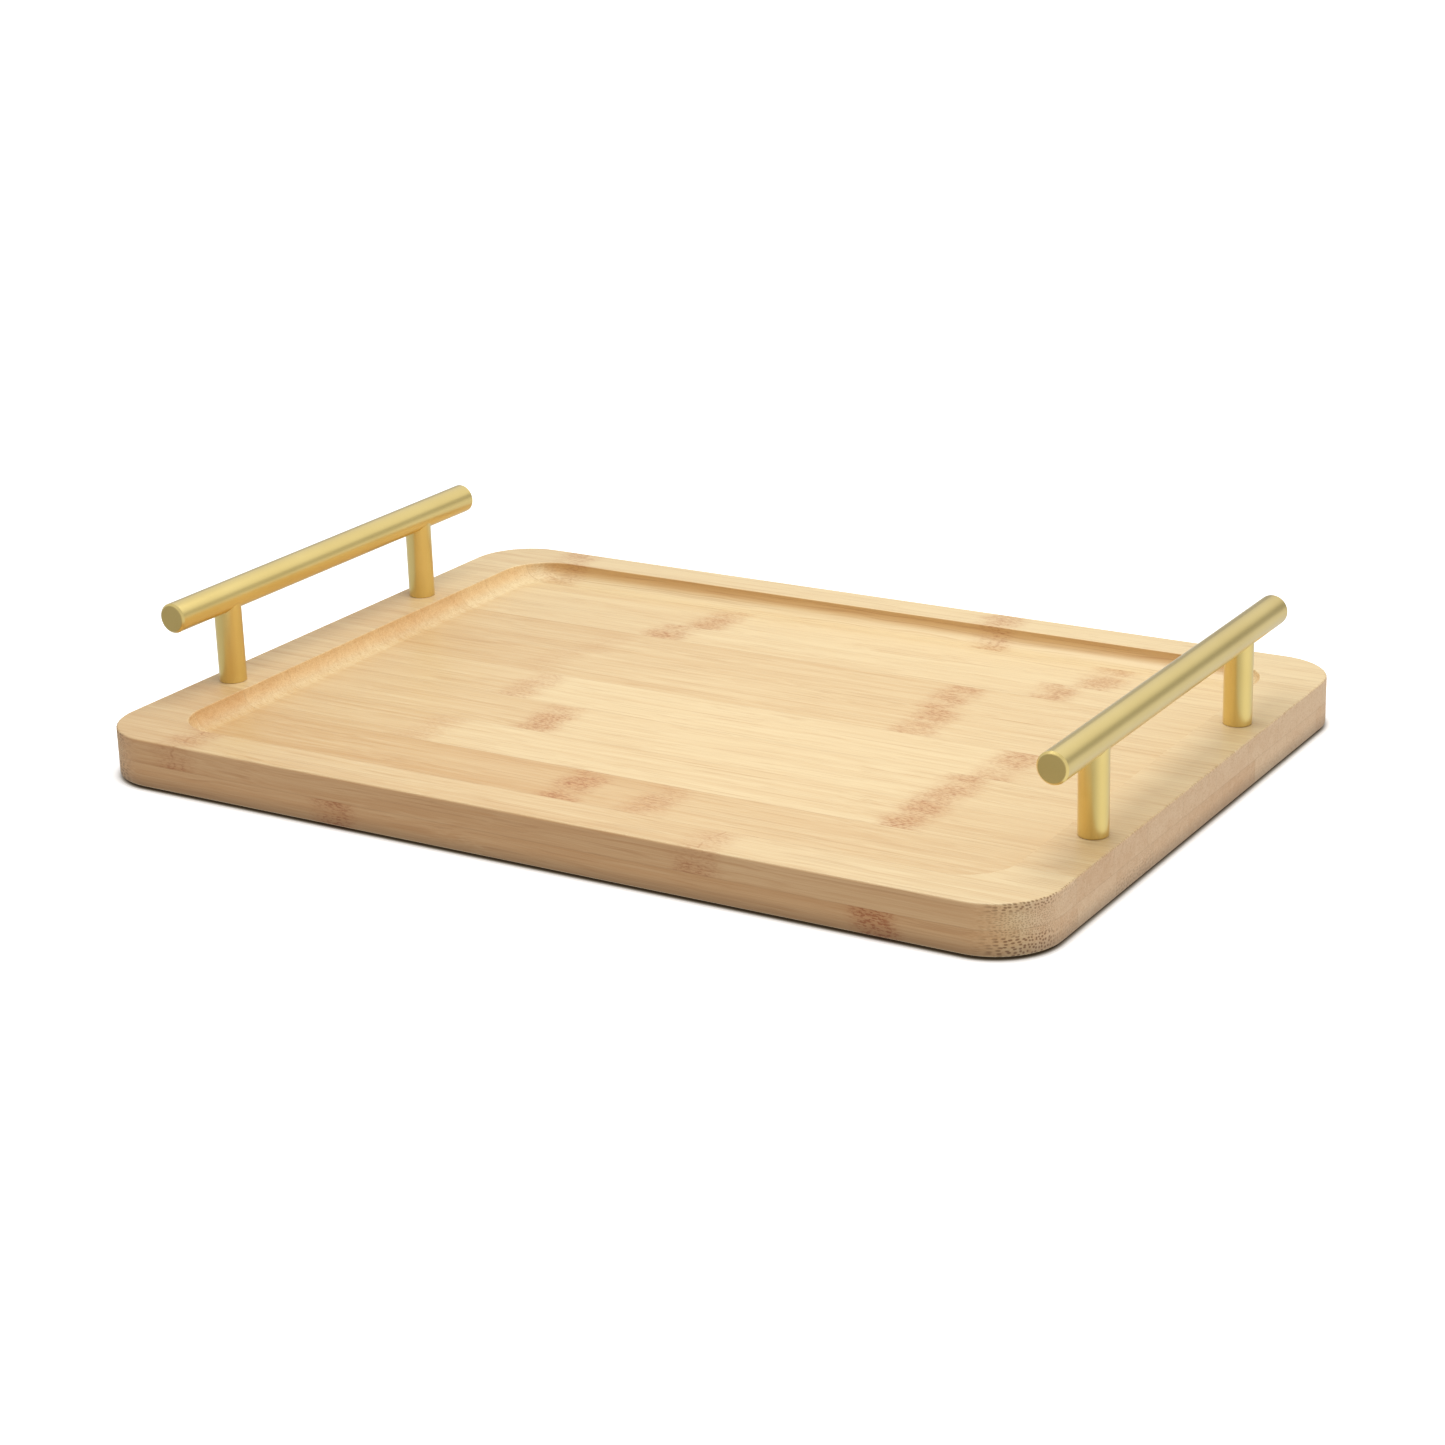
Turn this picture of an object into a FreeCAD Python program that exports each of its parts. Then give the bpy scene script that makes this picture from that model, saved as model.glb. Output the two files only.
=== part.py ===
import FreeCAD, Part
import os

# Serving tray: a board of two layers of bamboo strips with a routed recess,
# and a round bar handle on two posts at each short end.
#
# Units are millimetres. The origin is the centre of the tray's outline, on the
# surface it stands on. +X runs along the long side to the right, +Y to the
# back and +Z up.

Vector = FreeCAD.Vector
UP = Vector(0, 0, 1)
BACK = Vector(0, 1, 0)

# Board
board_length = 400.0
board_width = 284.0
layer_thickness = 9.5
board_corner_radius = 25.0
board_edge_round = 0.8

# Recess in the top of the board
end_rim_width = 23.0
front_rim_width = 19.0
back_rim_width = 16.3
recess_depth = 7.4
recess_corner_radius = 20.0
recess_cove_radius = 7.2
recess_lip_round = 0.5

# Strip widths from the front edge to the back edge
top_strip_widths = [35.0, 30.0, 28.0, 30.5, 30.5, 30.0, 29.5, 18.5, 27.0, 25.0]
bottom_front_strip_width = 36.0
bottom_strip_width = 31.0

# Handles, whose middle is a little in front of the middle of the board
bar_diameter = 12.0
bar_length = 195.0
bar_chamfer = 0.9
bar_height = 35.0
post_diameter = 11.0
post_spacing = 128.0
post_foot_round = 0.4
handle_offset = -5.0

# M4 hardware: a screw from below into each post, and a stud from post to bar
thread_diameter = 4.0
thread_clearance = 0.05
thread_tip_chamfer = 0.5
screw_length = 25.0
screw_head_diameter = 8.0
screw_head_height = 3.1
screw_head_round = 1.6
driver_slot_length = 4.4
driver_slot_width = 1.1
driver_slot_depth = 1.9
washer_diameter = 9.0
washer_hole_diameter = 4.3
washer_thickness = 0.8
screw_hole_diameter = 4.5
counterbore_diameter = 9.5
counterbore_depth = 6.0
post_thread_depth = 12.5
stud_in_post = 9.0
stud_in_bar = 7.0
stud_hole_spare = 1.0

# Feet
foot_diameter = 14.0
foot_height = 1.2
foot_edge_round = 0.5
foot_inset = 32.0

# Heights and places that follow from the sizes above
board_thickness = 2 * layer_thickness
board_bottom = foot_height
board_middle = board_bottom + layer_thickness
board_top = board_bottom + board_thickness
recess_floor = board_top - recess_depth
recess_length = board_length - 2 * end_rim_width
recess_width = board_width - front_rim_width - back_rim_width
recess_middle_y = (front_rim_width - back_rim_width) / 2
front_edge = -board_width / 2
bar_centre_height = board_top + bar_height
bar_underside = bar_centre_height - bar_diameter / 2
handle_x = board_length / 2 - end_rim_width / 2
counterbore_floor = board_bottom + counterbore_depth
thread_radius = thread_diameter / 2 - thread_clearance
above_board = 5.0

SIDES = {"left": -1, "right": 1}
ENDS = {"front": -1, "back": 1}


def cylinder(diameter, height, base, direction=UP):
    return Part.makeCylinder(diameter / 2, height, base, direction)


def level_edges(shape, height):
    """Edges that lie wholly at one height."""
    found = []
    for edge in shape.Edges:
        box = edge.BoundBox
        if abs(box.ZMin - height) < 1e-4 and abs(box.ZMax - height) < 1e-4:
            found.append(edge)
    return found


def upright_edges(shape):
    """Edges that run straight up."""
    return [edge for edge in shape.Edges if edge.BoundBox.ZLength > 1.0]


def rounded_prism(length, width, corner_radius, bottom, top, middle_y=0.0):
    """Upright prism with rounded corners, whose middle is at X = 0 and middle_y."""
    corner = Vector(-length / 2, middle_y - width / 2, bottom)
    block = Part.makeBox(length, width, top - bottom, corner)
    return block.makeFillet(corner_radius, upright_edges(block))


def post_places():
    """Every post's name and its centre on the board's top face."""
    places = {}
    for side, side_sign in SIDES.items():
        for end, end_sign in ENDS.items():
            x = side_sign * handle_x
            y = handle_offset + end_sign * post_spacing / 2
            places[f"{side}_{end}_post"] = Vector(x, y, board_top)
    return places


def at_height(place, height):
    return Vector(place.x, place.y, height)


# The board, whole, before it is cut into its strips


def recess_cutter():
    top = board_top + above_board
    cutter = rounded_prism(
        recess_length, recess_width, recess_corner_radius, recess_floor, top, recess_middle_y
    )
    return cutter.makeFillet(recess_cove_radius, level_edges(cutter, recess_floor))


def recess_lip(board):
    """Edges of the board's top face that run round the recess."""
    reach_x = recess_length / 2 + 0.1
    front = recess_middle_y - recess_width / 2 - 0.1
    back = recess_middle_y + recess_width / 2 + 0.1
    found = []
    for edge in level_edges(board, board_top):
        box = edge.BoundBox
        if max(box.XMax, -box.XMin) < reach_x and box.YMin > front and box.YMax < back:
            found.append(edge)
    return found


def screw_hole(place):
    """Clearance hole with a counterbore for the head and washer below."""
    hole = cylinder(screw_hole_diameter, board_thickness, at_height(place, board_bottom))
    counterbore = cylinder(counterbore_diameter, counterbore_depth, at_height(place, board_bottom))
    return hole.fuse(counterbore)


def whole_board():
    board = rounded_prism(board_length, board_width, board_corner_radius, board_bottom, board_top)
    rims = level_edges(board, board_bottom) + level_edges(board, board_top)
    board = board.makeFillet(board_edge_round, rims)
    board = board.cut(recess_cutter())
    board = board.makeFillet(recess_lip_round, recess_lip(board))
    for place in post_places().values():
        board = board.cut(screw_hole(place))
    return board


def cut_strips(board, layer_name, bottom, widths):
    """Cut one layer of the board into its strips, numbered from the front."""
    strips = {}
    front = front_edge
    for number, width in enumerate(widths, start=1):
        corner = Vector(-board_length / 2, front, bottom)
        slab = Part.makeBox(board_length, width, layer_thickness, corner)
        strips[f"{layer_name}_strip_{number:02d}"] = board.common(slab).Solids[0]
        front += width
    return strips


def bottom_strip_widths():
    """One wider strip at the front, and equal strips behind it."""
    equal_strips = round((board_width - bottom_front_strip_width) / bottom_strip_width)
    return [bottom_front_strip_width] + [bottom_strip_width] * equal_strips


def board_strips():
    board = whole_board()
    strips = cut_strips(board, "top", board_middle, top_strip_widths)
    strips.update(cut_strips(board, "bottom", board_bottom, bottom_strip_widths()))
    return strips


# Handles


def bar_outline(side_sign):
    """The bar's full cylinder, along Y."""
    start = Vector(side_sign * handle_x, handle_offset - bar_length / 2, bar_centre_height)
    return cylinder(bar_diameter, bar_length, start, BACK)


def stud_socket(place, depth_in_bar, depth_in_post):
    """Drilling for a stud, upwards into the bar and downwards into the post."""
    base = at_height(place, bar_underside - depth_in_post)
    return cylinder(thread_diameter, depth_in_bar + depth_in_post, base)


def handle_bar(side_sign):
    bar = bar_outline(side_sign)
    rims = [edge for edge in bar.Edges if edge.BoundBox.YLength < 0.01]
    bar = bar.makeChamfer(bar_chamfer, rims)
    for place in post_places().values():
        if place.x * side_sign > 0:
            bar = bar.cut(stud_socket(place, stud_in_bar, 0.0))
    return bar.Solids[0]


def handle_post(place):
    """Round post with a threaded hole at each end and a saddle for the bar."""
    post = cylinder(post_diameter, bar_height, place)
    post = post.makeFillet(post_foot_round, level_edges(post, board_top))
    post = post.cut(bar_outline(place.x / handle_x))
    post = post.cut(cylinder(thread_diameter, post_thread_depth, place))
    post = post.cut(stud_socket(place, 0.0, stud_in_post + stud_hole_spare))
    return max(post.Solids, key=lambda solid: solid.Volume)


# Hardware


def threaded_rod(length, base):
    """Rod at the thread's outside diameter, chamfered at its upper end."""
    rod = cylinder(2 * thread_radius, length, base)
    return rod.makeChamfer(thread_tip_chamfer, level_edges(rod, base.z + length))


def driver_recess(place, head_bottom):
    """Tapered cross for a screwdriver, open downwards."""
    half = driver_slot_length / 2
    middle = at_height(place, head_bottom)
    taper = Part.makeCone(half, driver_slot_width / 2, driver_slot_depth, middle, UP)
    along = Part.makeBox(
        driver_slot_length,
        driver_slot_width,
        driver_slot_depth,
        middle - Vector(half, driver_slot_width / 2, 0),
    )
    across = along.copy()
    across.rotate(middle, UP, 90)
    return along.fuse(across).common(taper)


def handle_screw(place):
    """Pan head machine screw whose head sits on the washer."""
    seat = counterbore_floor - washer_thickness
    head_bottom = seat - screw_head_height
    head = cylinder(screw_head_diameter, screw_head_height, at_height(place, head_bottom))
    head = head.makeFillet(screw_head_round, level_edges(head, head_bottom))
    head = head.cut(driver_recess(place, head_bottom))
    shank = threaded_rod(screw_length, at_height(place, seat))
    return head.fuse(shank).removeSplitter().Solids[0]


def handle_washer(place):
    base = at_height(place, counterbore_floor - washer_thickness)
    ring = cylinder(washer_diameter, washer_thickness, base)
    return ring.cut(cylinder(washer_hole_diameter, washer_thickness, base)).Solids[0]


def post_stud(place):
    return threaded_rod(stud_in_post + stud_in_bar, at_height(place, bar_underside - stud_in_post))


def at_each_post(make_piece):
    """The same fastener at all four posts, as separate solids in one shape."""
    return Part.makeCompound([make_piece(place) for place in post_places().values()])


# Feet


def foot(side_sign, end_sign):
    """Rubber disc stuck to the underside of the board."""
    x = side_sign * (board_length / 2 - foot_inset)
    y = end_sign * (board_width / 2 - foot_inset)
    disc = cylinder(foot_diameter, foot_height, Vector(x, y, 0))
    return disc.makeFillet(foot_edge_round, level_edges(disc, 0.0))


def build():
    nodes = board_strips()
    for side, side_sign in SIDES.items():
        nodes[f"{side}_handle_bar"] = handle_bar(side_sign)
        for end, end_sign in ENDS.items():
            nodes[f"{side}_{end}_foot"] = foot(side_sign, end_sign)
    for name, place in post_places().items():
        nodes[name] = handle_post(place)
    nodes["handle_screws"] = at_each_post(handle_screw)
    nodes["handle_washers"] = at_each_post(handle_washer)
    nodes["post_studs"] = at_each_post(post_stud)
    return nodes


os.makedirs("parts", exist_ok=True)
for node, shape in build().items():
    shape.exportStep(f"parts/{node}.step")
    print(f"{node}: {len(shape.Solids)} solids, {shape.Volume:.0f} mm3, valid {shape.isValid()}")
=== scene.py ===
import math

import bpy
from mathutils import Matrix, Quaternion, Vector


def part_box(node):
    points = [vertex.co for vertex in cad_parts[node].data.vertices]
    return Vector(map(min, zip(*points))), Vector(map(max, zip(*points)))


# Looks of the bamboo serving tray with two brass bar handles. The shapes are the
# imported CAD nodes. This script gives each one its material, and adds the floor,
# the light and the camera. Lengths are metres, except inside the materials,
# where the pattern is laid out in millimetres of the tray's own frame.

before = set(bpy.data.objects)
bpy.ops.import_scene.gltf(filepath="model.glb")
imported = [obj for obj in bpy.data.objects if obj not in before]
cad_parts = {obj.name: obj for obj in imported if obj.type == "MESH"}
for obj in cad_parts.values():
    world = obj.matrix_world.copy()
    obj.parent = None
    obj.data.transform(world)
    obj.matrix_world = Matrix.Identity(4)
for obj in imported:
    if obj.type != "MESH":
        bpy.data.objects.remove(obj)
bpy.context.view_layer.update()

MM = 1000.0
board_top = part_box("top_strip_01")[1].z
layer_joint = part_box("bottom_strip_01")[1].z
board_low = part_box("bottom_strip_01")[0]
board_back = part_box("top_strip_10")[1].y
bar_low, bar_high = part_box("right_handle_bar")

# The recess at its walls, in millimetres
RECESS_HALF_LENGTH = 177.2
RECESS_HALF_WIDTH = 124.5
RECESS_MIDDLE_Y = 1.35
BOARD_CORNER_RADIUS = 25.0


# Node graph helpers


def add(tree, kind, inputs=None, **settings):
    """Add a shader node. Each input is given a value or linked to a socket."""
    node = tree.nodes.new("ShaderNode" + kind)
    for name, value in settings.items():
        setattr(node, name, value)
    for name, value in (inputs or {}).items():
        if isinstance(value, bpy.types.NodeSocket):
            tree.links.new(value, node.inputs[name])
        else:
            node.inputs[name].default_value = value
    return node


def calc(tree, operation, *values, clamp=False):
    """One step of arithmetic on numbers or sockets."""
    settings = {"operation": operation, "use_clamp": clamp}
    return add(tree, "Math", dict(enumerate(values)), **settings).outputs[0]


def vector_calc(tree, operation, first, second):
    return add(tree, "VectorMath", {0: first, 1: second}, operation=operation).outputs[0]


def ramp(tree, value, start, end, low=0.0, high=1.0):
    """Smooth step from low at start to high at end."""
    inputs = {"Value": value, 1: start, 2: end, 3: low, 4: high}
    return add(tree, "MapRange", inputs, interpolation_type="SMOOTHSTEP").outputs[0]


def mix(tree, factor, first, second, method="MIX"):
    """Colour between first and second."""
    inputs = {0: factor, 6: first, 7: second}
    return add(tree, "Mix", inputs, data_type="RGBA", blend_type=method).outputs[2]


def tinted(tree, amount, colour, tint):
    """The colour, multiplied by the tint as far as amount says."""
    return mix(tree, amount, colour, mix(tree, 1.0, colour, tint, "MULTIPLY"))


def between(tree, value, target, share):
    """Go from value to target as share goes from 0 to 1."""
    change = calc(tree, "SUBTRACT", target, value)
    return calc(tree, "MULTIPLY_ADD", change, share, value)


def noise(tree, place, stretch, detail=2.0, roughness=0.5):
    """Noise whose frequency along each axis is stretch, in cycles per millimetre."""
    scaled = vector_calc(tree, "MULTIPLY", place, stretch)
    inputs = {"Vector": scaled, "Scale": 1.0, "Detail": detail, "Roughness": roughness}
    return add(tree, "TexNoise", inputs).outputs["Fac"]


def about_zero(tree, value, amount):
    """Turn a noise of 0 to 1 into a swing of amount either way."""
    centred = calc(tree, "SUBTRACT", value, 0.5)
    return calc(tree, "MULTIPLY", centred, 2.0 * amount)


def linear(red, green, blue):
    """Linear colour from red, green and blue as they look on a screen, 0 to 255."""
    channels = []
    for value in (red, green, blue):
        share = value / 255
        channels.append(share / 12.92 if share <= 0.04045 else ((share + 0.055) / 1.055) ** 2.4)
    return (*channels, 1.0)


def millimetres(tree):
    """Place on the object in millimetres of the tray's frame."""
    place = add(tree, "TexCoord").outputs["Object"]
    return vector_calc(tree, "MULTIPLY", place, (MM, MM, MM))


# Bamboo


BAMBOO_DARK = linear(190, 150, 99)
BAMBOO_LIGHT = linear(217, 194, 150)
LINE_COLOUR = linear(166, 122, 74)
MARK_COLOUR = linear(186, 132, 82)
SPECK_COLOUR = linear(160, 102, 56)
DOT_COLOUR = linear(124, 82, 42)

# Tints that multiply the colour of the ends, the long sides and the recess, by which way a face
# points.
# The ends' tint is the end grain's own colour. The long sides' tint is partly the side grain's
# colour and partly painted shade. On the recess's long walls the tint is painted shade, on its
# end walls painted warm light thrown back by the wood, and on its coves painted light.
END_TINT = (0.99, 0.91, 0.98, 1.0)
SIDE_GRAIN_AND_SHADE_TINT = (0.97, 0.80, 0.71, 1.0)
RECESS_SIDE_PAINTED_SHADE = (0.80, 0.62, 0.42, 1.0)
RECESS_END_PAINTED_LIGHT = (1.08, 0.99, 0.88, 1.0)
COVE_PAINTED_LIGHT = (1.05, 1.09, 1.12, 1.0)

# Painted shade for the outer faces' lower edge
LOWER_EDGE_PAINTED_SHADE = (0.03, 0.018, 0.010, 1.0)

# Spacing of the bundles in millimetres, and their radius as a share of it
COARSE_BUNDLES = (1.25, 0.42)
FINE_BUNDLES = (0.75, 0.40)

STRIP_INPUTS = {
    "Seed": "NodeSocketVector",
    "Front": "NodeSocketFloat",
    "Back": "NodeSocketFloat",
    "Mark A": "NodeSocketFloat",
    "Mark A strength": "NodeSocketFloat",
    "Mark B": "NodeSocketFloat",
    "Mark B strength": "NodeSocketFloat",
    "Left tone": "NodeSocketFloat",
    "Middle tone": "NodeSocketFloat",
    "Right tone": "NodeSocketFloat",
    "Dots": "NodeSocketFloat",
    "Coarse dots": "NodeSocketFloat",
    "Ridge": "NodeSocketFloat",
}
STRIP_OUTPUTS = {
    "Colour": "NodeSocketColor",
    "Roughness": "NodeSocketFloat",
    "Height": "NodeSocketFloat",
}


def bamboo_marks(tree, given, along, seeded):
    """Marks where the cane had its nodes. Gives the mark's amount, the amount of the
    thin ridge line along its middle, and the tone, which changes across each mark."""
    shares = []
    ridges = []
    tone = given["Left tone"]
    for letter, next_tone in (("A", "Middle tone"), ("B", "Right tone")):
        offset = calc(tree, "SUBTRACT", along, given["Mark " + letter])
        distance = calc(tree, "ABSOLUTE", offset)
        share = ramp(tree, distance, 2.0, 13.0, 1.0, 0.0)
        shares.append(calc(tree, "MULTIPLY", share, given[f"Mark {letter} strength"]))
        ridges.append(ramp(tree, distance, 0.1, 0.7, 1.0, 0.0))
        past = ramp(tree, offset, -12.0, 12.0)
        tone = between(tree, tone, given[next_tone], past)
    blotch = ramp(tree, noise(tree, seeded, (0.05, 0.09, 0.09)), 0.32, 0.62, 0.35, 1.15)
    amount = calc(tree, "MULTIPLY", calc(tree, "MAXIMUM", *shares), blotch, clamp=True)
    broken = ramp(tree, noise(tree, seeded, (0.15, 0.30, 0.30)), 0.42, 0.56)
    ridge = calc(tree, "MULTIPLY", calc(tree, "MAXIMUM", *ridges), broken)
    return amount, calc(tree, "MULTIPLY", ridge, given["Ridge"]), tone


def bamboo_bundles(tree, given, fibre_place, outward):
    """Vascular bundles that run along the fibres: dots where they are cut across,
    coarser towards the outside of the board."""
    dots = []
    across = add(tree, "SeparateXYZ", {0: fibre_place}).outputs
    section = add(tree, "CombineXYZ", {0: across["Y"], 1: across["Z"]}).outputs[0]
    for spacing, edge in (COARSE_BUNDLES, FINE_BUNDLES):
        inputs = {"Vector": section, "Scale": 1 / spacing, "Randomness": 0.6}
        voronoi = add(tree, "TexVoronoi", inputs, voronoi_dimensions="2D")
        distance = voronoi.outputs["Distance"]
        dots.append(ramp(tree, distance, edge - 0.22, edge, 1.0, 0.0))
    start = given["Coarse dots"]
    coarse = ramp(tree, outward, start, calc(tree, "ADD", start, 2.5))
    fine_dots = calc(tree, "MULTIPLY", dots[1], 0.6)
    return between(tree, fine_dots, dots[0], coarse)


def inside_recess(tree, axes):
    """1 between the walls of the recess and 0 outside it."""
    in_length = calc(tree, "LESS_THAN", calc(tree, "ABSOLUTE", axes["X"]), RECESS_HALF_LENGTH)
    from_middle = calc(tree, "ABSOLUTE", calc(tree, "SUBTRACT", axes["Y"], RECESS_MIDDLE_Y))
    in_width = calc(tree, "LESS_THAN", from_middle, RECESS_HALF_WIDTH)
    return calc(tree, "MULTIPLY", in_length, in_width)


def fibre_tone(tree, tone, crisp, fine, streak, broad):
    """The strip's tone with the swing that each size of fibre adds to it."""
    tone = calc(tree, "ADD", tone, about_zero(tree, crisp, 0.42))
    tone = calc(tree, "ADD", tone, about_zero(tree, fine, 0.42))
    tone = calc(tree, "ADD", tone, about_zero(tree, streak, 0.30))
    return calc(tree, "ADD", tone, about_zero(tree, broad, 0.18), clamp=True)


def bamboo_group():
    """Solid bamboo pattern: fibres along X, bundles cut as dots on the end grain,
    node marks across the strip, and the glue lines round its edges. It also paints shade and
    light on faces by which way they point, and shade on the outer faces towards the lower edge."""
    tree = bpy.data.node_groups.new("bamboo_strip", "ShaderNodeTree")
    for name, kind in STRIP_INPUTS.items():
        tree.interface.new_socket(name, in_out="INPUT", socket_type=kind)
    for name, kind in STRIP_OUTPUTS.items():
        tree.interface.new_socket(name, in_out="OUTPUT", socket_type=kind)
    given = tree.nodes.new("NodeGroupInput").outputs
    place = millimetres(tree)
    axes = add(tree, "SeparateXYZ", {0: place}).outputs
    seeded = vector_calc(tree, "ADD", place, given["Seed"])

    # Fibres wander a little sideways along the strip
    wander = about_zero(tree, noise(tree, seeded, (0.011, 0.05, 0.05)), 3.0)
    bend = add(tree, "CombineXYZ", {1: wander, 2: wander}).outputs[0]
    fibre_place = vector_calc(tree, "ADD", seeded, bend)
    fine = noise(tree, fibre_place, (0.03, 1.9, 1.9), detail=4.0, roughness=0.6)
    streak = noise(tree, fibre_place, (0.008, 0.42, 0.42), detail=3.0)
    broad = noise(tree, seeded, (0.006, 0.10, 0.20), detail=1.0)
    crisp = noise(tree, fibre_place, (0.012, 3.0, 3.0), detail=2.0)
    lines = ramp(tree, noise(tree, fibre_place, (0.009, 1.3, 1.3), detail=2.0), 0.56, 0.66)

    # Node marks, whose place along the strip wobbles across it
    wobble = about_zero(tree, noise(tree, seeded, (0.02, 0.16, 0.16)), 5.0)
    along = calc(tree, "ADD", axes["X"], wobble)
    mark, ridge, tone = bamboo_marks(tree, given, along, seeded)
    speck_noise = noise(tree, seeded, (0.45, 1.7, 1.7), detail=3.0, roughness=0.6)
    specks = calc(tree, "MULTIPLY", ramp(tree, speck_noise, 0.48, 0.58), mark)

    # Which way the surface faces, and where it is
    normal = add(tree, "NewGeometry").outputs["Normal"]
    facing = add(tree, "SeparateXYZ", {0: normal}).outputs
    endways = calc(tree, "ABSOLUTE", facing["X"])
    end_grain = ramp(tree, endways, 0.12, 0.60)
    side_grain = ramp(tree, calc(tree, "ABSOLUTE", facing["Y"]), 0.60, 1.0)
    upright = ramp(tree, calc(tree, "ABSOLUTE", facing["Z"]), 0.4, 0.9, 1.0, 0.0)
    recess = inside_recess(tree, axes)
    outer = calc(tree, "SUBTRACT", 1.0, recess)
    to_layer = calc(tree, "ABSOLUTE", calc(tree, "SUBTRACT", axes["Z"], layer_joint * MM))
    bundle = bamboo_bundles(tree, given, fibre_place, to_layer)

    # Colour of the flat grain and its marks
    tone = fibre_tone(tree, tone, crisp, fine, streak, broad)
    colour = mix(tree, tone, BAMBOO_DARK, BAMBOO_LIGHT)
    colour = mix(tree, calc(tree, "MULTIPLY", lines, 0.26), colour, LINE_COLOUR)
    colour = mix(tree, calc(tree, "MULTIPLY", mark, 0.48), colour, MARK_COLOUR)
    colour = mix(tree, calc(tree, "MULTIPLY", specks, 0.84), colour, SPECK_COLOUR)
    colour = mix(tree, calc(tree, "MULTIPLY", ridge, 0.45), colour, SPECK_COLOUR)

    # Tints of the ends, the coves and the long sides, by which way they face: partly the wood's
    # own colour, partly painted shade and painted light
    steep = ramp(tree, endways, 0.55, 0.97)
    colour = tinted(tree, steep, colour, mix(tree, recess, END_TINT, RECESS_END_PAINTED_LIGHT))
    leaning = ramp(tree, endways, 0.03, 0.22)
    not_steep = ramp(tree, endways, 0.4, 0.8, 1.0, 0.0)
    cove = calc(tree, "MULTIPLY", calc(tree, "MULTIPLY", leaning, not_steep), recess)
    colour = tinted(tree, cove, colour, COVE_PAINTED_LIGHT)
    colour = tinted(tree, side_grain, colour, mix(tree, recess, SIDE_GRAIN_AND_SHADE_TINT, RECESS_SIDE_PAINTED_SHADE))

    # Bundles cut across: fewer on the flat ends than on the corners' arcs, and
    # fewer still in the recess
    on_arc = ramp(tree, endways, 0.93, 1.0, 1.0, 0.3)
    on_outside = calc(tree, "MULTIPLY_ADD", outer, 0.75, 0.25)
    dot_amount = calc(tree, "MULTIPLY", calc(tree, "MULTIPLY", given["Dots"], end_grain), on_arc)
    dot_amount = calc(tree, "MULTIPLY_ADD", dot_amount, 0.70, 0.04)
    dot_amount = calc(tree, "MULTIPLY", dot_amount, on_outside)
    dot_amount = calc(tree, "MULTIPLY", dot_amount, bundle, clamp=True)
    colour = mix(tree, dot_amount, colour, DOT_COLOUR)

    # Painted shade: the outer faces darken towards the lower edge, next to the floor
    above_edge = calc(tree, "SUBTRACT", axes["Z"], board_low.z * MM)
    dark = ramp(tree, above_edge, -1.5, 7.0, 0.50, 0.0)
    dark = calc(tree, "MULTIPLY", dark, calc(tree, "MULTIPLY", upright, outer))
    colour = mix(tree, dark, colour, LOWER_EDGE_PAINTED_SHADE)

    # Glue lines at the strip's long edges and between the layers
    to_front = calc(tree, "SUBTRACT", axes["Y"], given["Front"])
    to_back = calc(tree, "SUBTRACT", given["Back"], axes["Y"])
    to_edge = calc(tree, "MINIMUM", calc(tree, "MINIMUM", to_front, to_back), to_layer)
    glue = ramp(tree, to_edge, 0.02, 0.30, 1.0, 0.0)
    colour = mix(tree, calc(tree, "MULTIPLY", glue, 0.16), colour, DOT_COLOUR)

    # Roughness and height
    rough = calc(tree, "MULTIPLY_ADD", fine, 0.24, 0.30)
    rough = calc(tree, "MULTIPLY_ADD", end_grain, 0.12, rough)
    height = calc(tree, "MULTIPLY_ADD", streak, 0.7, fine)
    height = calc(tree, "MULTIPLY_ADD", crisp, 0.8, height)
    height = calc(tree, "MULTIPLY_ADD", lines, -0.5, height)
    height = calc(tree, "MULTIPLY_ADD", specks, -0.4, height)
    height = calc(tree, "MULTIPLY_ADD", glue, -0.6, height)
    height = calc(tree, "MULTIPLY", height, calc(tree, "MULTIPLY_ADD", end_grain, -0.7, 1.0))
    hollow = calc(tree, "MULTIPLY", bundle, calc(tree, "MULTIPLY", end_grain, on_outside))
    height = calc(tree, "MULTIPLY_ADD", hollow, -0.3, height)

    result = tree.nodes.new("NodeGroupOutput").inputs
    tree.links.new(colour, result["Colour"])
    tree.links.new(rough, result["Roughness"])
    tree.links.new(height, result["Height"])
    return tree


class StripLook:
    """What sets one strip apart.

    marks: where the cane had its nodes, as a place along X in millimetres and a
    strength for each of two marks.
    tones: before, between and after them, from 0 for dark to 1 for light.
    dots: how strong the cut bundles are.
    coarse_dots: how far from the joint between the layers, in millimetres, the
    dots get coarse.
    ridge: how strong the thin line is along the middle of its marks."""

    def __init__(self, marks, tones, dots=0.3, coarse_dots=5.0, ridge=0.25):
        self.marks = marks
        self.tones = tones
        self.dots = dots
        self.coarse_dots = coarse_dots
        self.ridge = ridge


TOP_LOOKS = [
    StripLook(((-158, 0.50), (73, 0.60)), (0.44, 0.54, 0.78), dots=1.0, ridge=0.8),
    StripLook(((-9, 0.95), (26, 0.48)), (0.28, 0.40, 0.58)),
    StripLook(((-95, 0.25), (116, 0.75)), (0.50, 0.80, 0.64)),
    StripLook(((-60, 0.80), (116, 0.70)), (0.56, 0.86, 0.74)),
    StripLook(((-89, 0.42), (124, 0.65)), (0.58, 0.88, 0.72)),
    StripLook(((-98, 0.15), (74, 0.75)), (0.46, 0.62, 0.76)),
    StripLook(((-92, 0.12), (70, 0.70)), (0.52, 0.64, 0.76)),
    StripLook(((-75, 0.75), (104, 0.70)), (0.76, 0.86, 0.86)),
    StripLook(((-65, 0.75), (114, 0.60)), (0.78, 0.93, 0.88)),
    StripLook(((-157, 0.60), (54, 0.60)), (0.70, 0.90, 0.96), dots=0.6),
]


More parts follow.
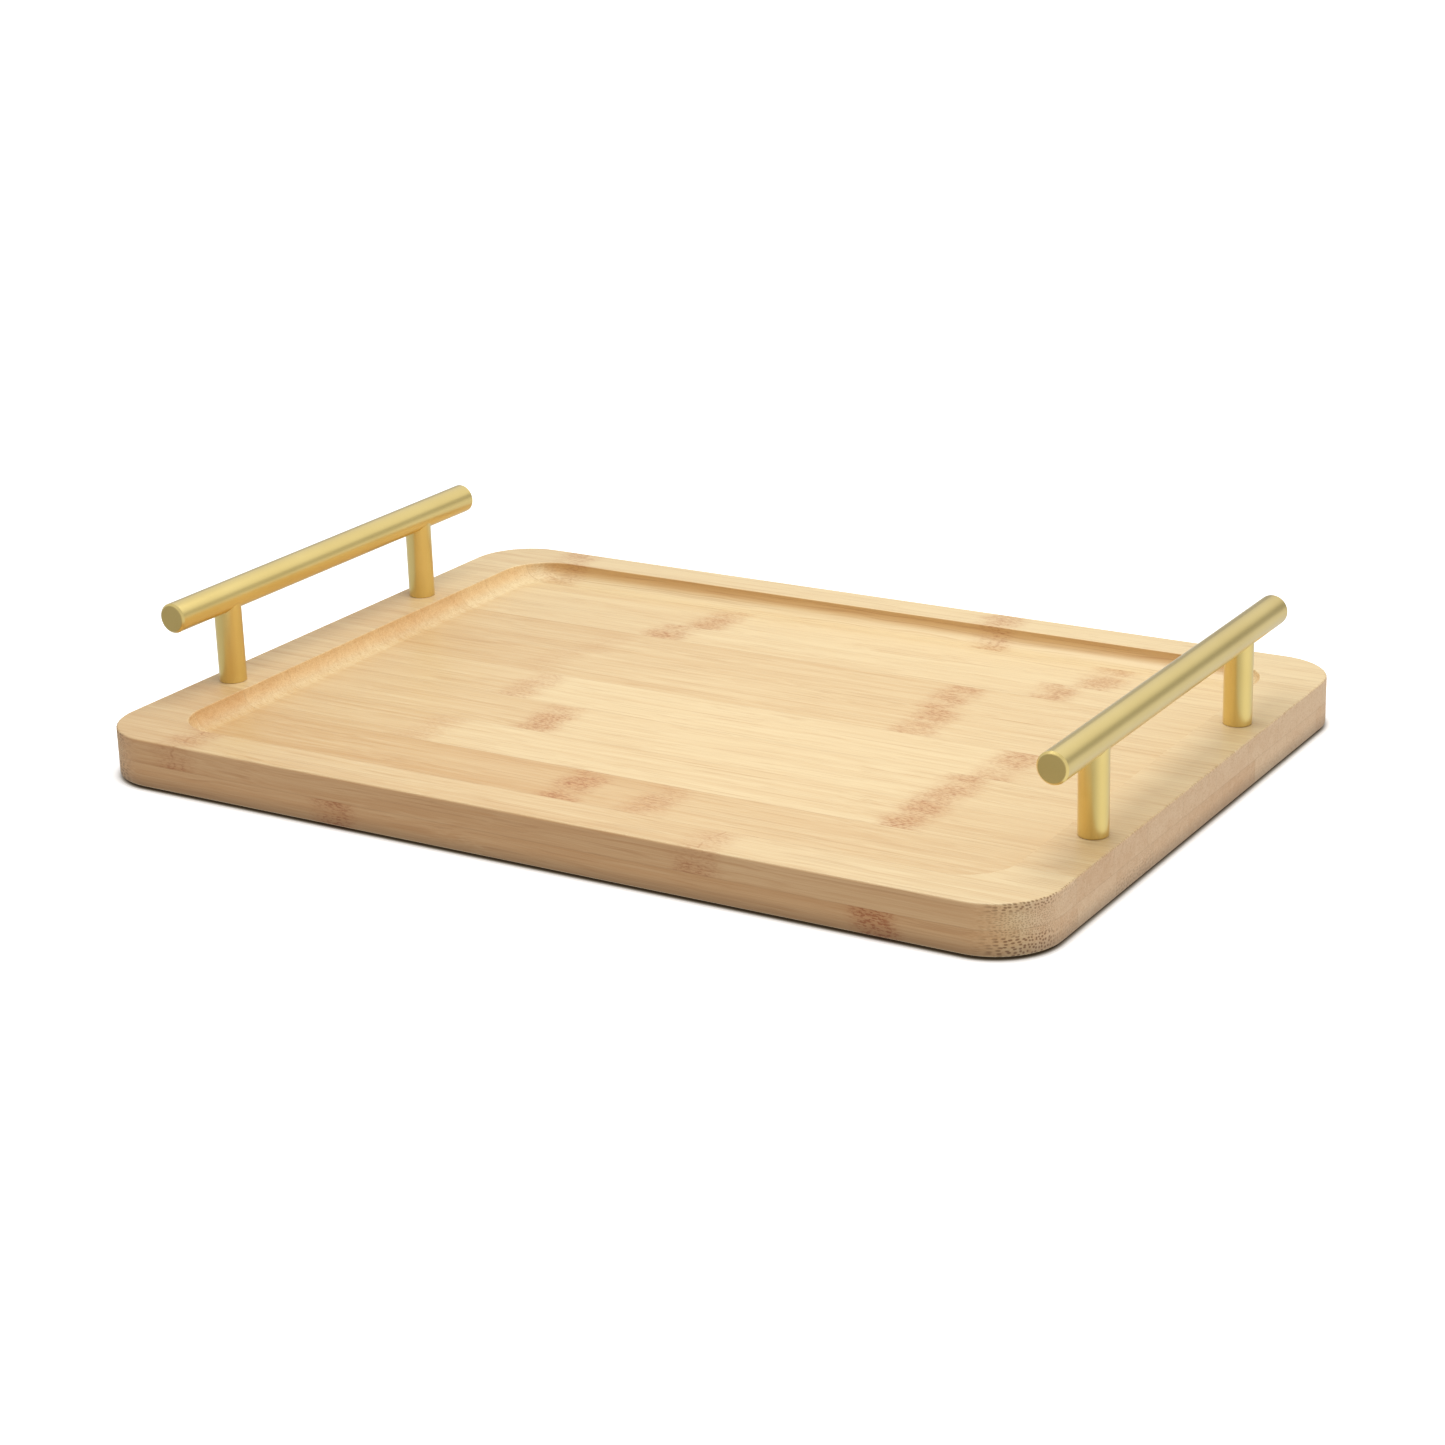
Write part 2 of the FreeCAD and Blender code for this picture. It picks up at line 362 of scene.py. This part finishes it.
def bottom_look(number):
    """The bottom layer's strips. The first one's marks show on the front face, and
    the third one's dots at the ends. The others are varied by their number."""
    if number == 1:
        return StripLook(((-83, 0.9), (142, 1.0)), (0.48, 0.52, 0.60), dots=1.1, coarse_dots=1.0)
    first = -170.0 + (number * 83.0) % 140.0
    tone = 0.45 + 0.08 * (number * 5 % 6)
    marks = ((first, 0.6), (first + 215.0, 0.6))
    dots = 1.6 if number == 3 else 0.5
    return StripLook(marks, (tone, tone + 0.1, tone), dots=dots, coarse_dots=2.0)


def strip_material(group, node, number, look):
    """The bamboo of one strip."""
    material = bpy.data.materials.new("bamboo_" + node)
    material.use_nodes = True
    tree = material.node_tree
    shader = tree.nodes["Principled BSDF"]
    low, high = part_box(node)
    is_front = low.y < board_low.y + 0.001
    is_back = high.y > board_back - 0.001
    strip = tree.nodes.new("ShaderNodeGroup")
    strip.node_tree = group
    values = {
        "Seed": (number * 371.0, number * 53.7, number * 29.3),
        "Front": -MM if is_front else low.y * MM,
        "Back": MM if is_back else high.y * MM,
        "Mark A": look.marks[0][0],
        "Mark A strength": look.marks[0][1],
        "Mark B": look.marks[1][0],
        "Mark B strength": look.marks[1][1],
        "Left tone": look.tones[0],
        "Middle tone": look.tones[1],
        "Right tone": look.tones[2],
        "Dots": look.dots,
        "Coarse dots": look.coarse_dots,
        "Ridge": look.ridge,
    }
    for name, value in values.items():
        strip.inputs[name].default_value = value
    inputs = {"Height": strip.outputs["Height"], "Strength": 0.5, "Distance": 0.0001}
    bump = add(tree, "Bump", inputs)
    tree.links.new(strip.outputs["Colour"], shader.inputs["Base Color"])
    tree.links.new(strip.outputs["Roughness"], shader.inputs["Roughness"])
    tree.links.new(bump.outputs[0], shader.inputs["Normal"])
    shader.inputs["Specular IOR Level"].default_value = 0.45
    return material


# Metal and rubber


BRASS_LIGHT = linear(230, 208, 136)
BRASS_DARK = linear(216, 191, 114)
# Painted shade on the bars' flat ends
BAR_END_PAINTED_SHADE = (0.72, 0.70, 0.66, 1.0)


def brass_material():
    """Satin brass under a clear lacquer. The bars' flat ends are darker, as painted shade for
    the darker surroundings they reflect, and rougher.
    """
    material = bpy.data.materials.new("satin_brass")
    material.use_nodes = True
    tree = material.node_tree
    shader = tree.nodes["Principled BSDF"]
    place = millimetres(tree)
    cloud = noise(tree, place, (0.05, 0.03, 0.05), detail=2.0)
    grain = noise(tree, place, (2.2, 2.2, 2.2), detail=3.0, roughness=0.6)
    tone = calc(tree, "MULTIPLY_ADD", about_zero(tree, grain, 0.5), 0.35, cloud, clamp=True)
    metal = mix(tree, tone, BRASS_DARK, BRASS_LIGHT)
    along = add(tree, "SeparateXYZ", {0: place}).outputs["Y"]
    middle = (bar_low.y + bar_high.y) / 2 * MM
    reach = (bar_high.y - bar_low.y) / 2 * MM
    from_middle = calc(tree, "ABSOLUTE", calc(tree, "SUBTRACT", along, middle))
    # Painted shade: the bars' flat ends are darkened
    bar_end_face = ramp(tree, from_middle, reach - 0.25, reach - 0.10)
    tree.links.new(tinted(tree, bar_end_face, metal, BAR_END_PAINTED_SHADE), shader.inputs["Base Color"])
    rough = calc(tree, "MULTIPLY_ADD", grain, 0.06, 0.27)
    rough = calc(tree, "MULTIPLY_ADD", bar_end_face, 0.10, rough)
    tree.links.new(rough, shader.inputs["Roughness"])
    bump = add(tree, "Bump", {"Height": grain, "Strength": 0.04, "Distance": 0.00002})
    tree.links.new(bump.outputs[0], shader.inputs["Normal"])
    shader.inputs["Metallic"].default_value = 1.0
    shader.inputs["Coat Weight"].default_value = 0.5
    shader.inputs["Coat Roughness"].default_value = 0.3
    return material


def steel_material():
    """Zinc plate with faint turning marks."""
    material = bpy.data.materials.new("zinc_steel")
    material.use_nodes = True
    tree = material.node_tree
    shader = tree.nodes["Principled BSDF"]
    place = millimetres(tree)
    cloud = noise(tree, place, (0.6, 0.6, 0.6), detail=3.0)
    turned = noise(tree, place, (0.4, 0.4, 6.0), detail=3.0)
    colour = mix(tree, cloud, (0.42, 0.43, 0.45, 1.0), (0.62, 0.63, 0.64, 1.0))
    tree.links.new(colour, shader.inputs["Base Color"])
    rough = calc(tree, "MULTIPLY_ADD", turned, 0.2, 0.22)
    tree.links.new(rough, shader.inputs["Roughness"])
    bump = add(tree, "Bump", {"Height": turned, "Strength": 0.2, "Distance": 0.00003})
    tree.links.new(bump.outputs[0], shader.inputs["Normal"])
    shader.inputs["Metallic"].default_value = 1.0
    return material


def rubber_material():
    """Dull black rubber, a little dusty."""
    material = bpy.data.materials.new("rubber_foot")
    material.use_nodes = True
    tree = material.node_tree
    shader = tree.nodes["Principled BSDF"]
    place = millimetres(tree)
    dust = noise(tree, place, (0.5, 0.5, 0.5), detail=4.0)
    pebble = noise(tree, place, (3.0, 3.0, 3.0), detail=2.0)
    colour = mix(tree, dust, (0.012, 0.012, 0.012, 1.0), (0.035, 0.034, 0.033, 1.0))
    tree.links.new(colour, shader.inputs["Base Color"])
    rough = calc(tree, "MULTIPLY_ADD", dust, 0.2, 0.6)
    tree.links.new(rough, shader.inputs["Roughness"])
    bump = add(tree, "Bump", {"Height": pebble, "Strength": 0.3, "Distance": 0.00005})
    tree.links.new(bump.outputs[0], shader.inputs["Normal"])
    return material


def give_material(node, material):
    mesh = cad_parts[node].data
    mesh.materials.clear()
    mesh.materials.append(material)


def dress_tray():
    """Every CAD node gets its material."""
    group = bamboo_group()
    for number, look in enumerate(TOP_LOOKS, start=1):
        node = f"top_strip_{number:02d}"
        give_material(node, strip_material(group, node, number, look))
    bottom_nodes = sorted(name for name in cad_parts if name.startswith("bottom_strip"))
    for number, node in enumerate(bottom_nodes, start=1):
        seed_number = number + len(TOP_LOOKS)
        give_material(node, strip_material(group, node, seed_number, bottom_look(number)))
    brass = brass_material()
    steel = steel_material()
    rubber = rubber_material()
    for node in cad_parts:
        if node.endswith("_bar") or node.endswith("_post"):
            give_material(node, brass)
        elif node.endswith("_foot"):
            give_material(node, rubber)
        elif node in ("handle_screws", "handle_washers", "post_studs"):
            give_material(node, steel)


# Floor, light and camera


# Painted shadow in the gap beneath the board
GAP_PAINTED_SHADOW = (0.07, 0.06, 0.05, 1.0)
PAPER_COLOUR = (0.95, 0.95, 0.95, 1.0)
FLOOR_HALF_SIZE = 20.0


def outside_board(tree):
    """Distance outward from the board's outline, in millimetres; negative beneath it."""
    place = add(tree, "SeparateXYZ", {0: millimetres(tree)}).outputs
    radius = BOARD_CORNER_RADIUS
    past = []
    for axis, half in (("X", -board_low.x * MM), ("Y", -board_low.y * MM)):
        reach = calc(tree, "ABSOLUTE", place[axis])
        past.append(calc(tree, "MAXIMUM", calc(tree, "SUBTRACT", reach, half - radius), 0.0))
    corner = add(tree, "CombineXYZ", {0: past[0], 1: past[1]}).outputs[0]
    length = add(tree, "VectorMath", {0: corner}, operation="LENGTH").outputs["Value"]
    return calc(tree, "SUBTRACT", length, radius)


def make_floor():
    """White floor that glows a little, so that it stays white round the tray. Beneath the board
    and just round it the colour turns dark and the glow fades: a painted contact shadow in the
    gap beneath the board. What it would throw back on the tray comes from the lower half of the
    studio's light instead."""
    reach = FLOOR_HALF_SIZE
    corners = [(-reach, -reach, 0), (reach, -reach, 0), (reach, reach, 0), (-reach, reach, 0)]
    mesh = bpy.data.meshes.new("floor")
    mesh.from_pydata(corners, [], [(0, 1, 2, 3)])
    floor = bpy.data.objects.new("floor", mesh)
    bpy.context.scene.collection.objects.link(floor)
    material = bpy.data.materials.new("floor_paper")
    material.use_nodes = True
    tree = material.node_tree
    shader = tree.nodes["Principled BSDF"]
    distance = outside_board(tree)
    # Painted contact shadow: dark beneath the board, and the glow fades near it
    clear = ramp(tree, distance, -1.8, 1.2)
    colour = mix(tree, clear, GAP_PAINTED_SHADOW, PAPER_COLOUR)
    tree.links.new(colour, shader.inputs["Base Color"])
    glow = ramp(tree, distance, -0.8, 3.0, 0.0, 0.40)
    tree.links.new(glow, shader.inputs["Emission Strength"])
    shader.inputs["Emission Color"].default_value = (1.0, 1.0, 1.0, 1.0)
    shader.inputs["Roughness"].default_value = 0.9
    shader.inputs["Specular IOR Level"].default_value = 0.0
    mesh.materials.append(material)
    floor.visible_diffuse = False
    floor.visible_glossy = False
    floor.visible_shadow = False


# Brightness of the studio on each side: below the horizon, just above it, and
# higher up. The dark band at the back is the gap between table and lamps.
STUDIO_SIDES = {
    "front": (("Y", -1.0), (0.62, 0.53, 0.59)),
    "right": (("X", 1.0), (1.08, 0.97, 1.06)),
    "back": (("Y", 1.0), (0.77, 0.25, 1.02)),
    "left": (("X", -1.0), (0.70, 0.76, 0.80)),
}
STUDIO_OVERHEAD = 0.86


def make_studio():
    """Soft light from all round, as from a tent with a bright top."""
    world = bpy.data.worlds.new("studio")
    world.use_nodes = True
    tree = world.node_tree
    direction = add(tree, "TexCoord").outputs["Generated"]
    height = add(tree, "SeparateXYZ", {0: direction}).outputs["Z"]
    level = vector_calc(tree, "MULTIPLY", direction, (1.0, 1.0, 0.0))
    compass = add(tree, "VectorMath", {0: level}, operation="NORMALIZE").outputs[0]
    compass = add(tree, "SeparateXYZ", {0: compass}).outputs
    total = 0.0
    for (axis, sign), (below, low, high) in STUDIO_SIDES.values():
        towards = calc(tree, "MAXIMUM", calc(tree, "MULTIPLY", compass[axis], sign), 0.0)
        value = ramp(tree, height, -0.1, 0.1, below, low)
        value = between(tree, value, high, ramp(tree, height, 0.25, 0.45))
        value = between(tree, value, STUDIO_OVERHEAD, ramp(tree, height, 0.65, 0.85))
        share = calc(tree, "MULTIPLY", towards, towards)
        total = calc(tree, "MULTIPLY_ADD", value, share, total)
    tree.links.new(total, tree.nodes["Background"].inputs["Color"])
    bpy.context.scene.world = world


def make_softbox(place, size, power):
    """Square softbox that points straight down."""
    light = bpy.data.lights.new("softbox", "AREA")
    light.shape = "SQUARE"
    light.size = size
    light.energy = power
    lamp = bpy.data.objects.new("softbox", light)
    bpy.context.scene.collection.objects.link(lamp)
    lamp.location = place
    lamp.visible_camera = False


def make_camera():
    """Long lens, from the front right and a little above the tray."""
    turn = math.radians(31.6)
    rise = math.radians(19.37)
    roll = math.radians(-1.77)
    distance = 1.2095
    target = Vector((0.0147, -0.0264, board_top))
    level = math.cos(rise)
    away = Vector((math.sin(turn) * level, -math.cos(turn) * level, math.sin(rise)))
    lens = bpy.data.cameras.new("camera")
    lens.lens = 79.27
    lens.sensor_width = 36.0
    lens.clip_start = 0.05
    lens.clip_end = 100.0
    camera = bpy.data.objects.new("camera", lens)
    bpy.context.scene.collection.objects.link(camera)
    camera.location = target + away * distance
    camera.rotation_mode = "QUATERNION"
    camera.rotation_quaternion = (-away).to_track_quat("-Z", "Y") @ Quaternion((0, 0, 1), roll)
    bpy.context.scene.camera = camera


dress_tray()
make_floor()
make_softbox(place=(0.04, 0.0, 0.52), size=0.40, power=2.05)
make_studio()
make_camera()
bpy.context.scene.view_settings.view_transform = "Standard"
